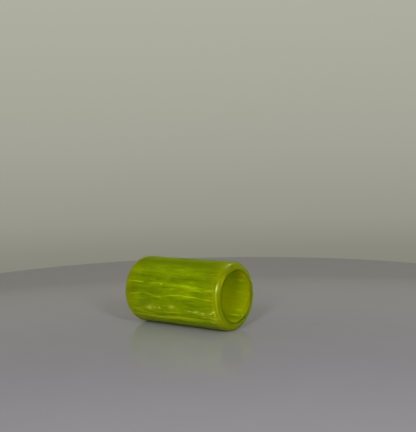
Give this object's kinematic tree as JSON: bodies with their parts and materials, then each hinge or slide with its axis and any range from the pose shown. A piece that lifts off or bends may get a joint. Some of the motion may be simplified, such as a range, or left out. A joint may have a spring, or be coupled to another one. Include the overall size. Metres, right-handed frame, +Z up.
{
  "type": "tube ring",
  "caption": "Short thick-walled tube of streaked translucent lime resin, open at both ends, with rounded rims; slips over a finger or a rod.",
  "frame": {"origin": "midway along the lowest line of the outside, where the tube touches the surface it lies on", "axes": "+Z up, +X along the bore; the tube lies on its side"},
  "size_m": [0.049, 0.028, 0.028],
  "materials": {
    "streaked_resin": "polished"
  },
  "bodies": {
    "root": {"tube": "streaked_resin"}
  },
  "joints": []
}
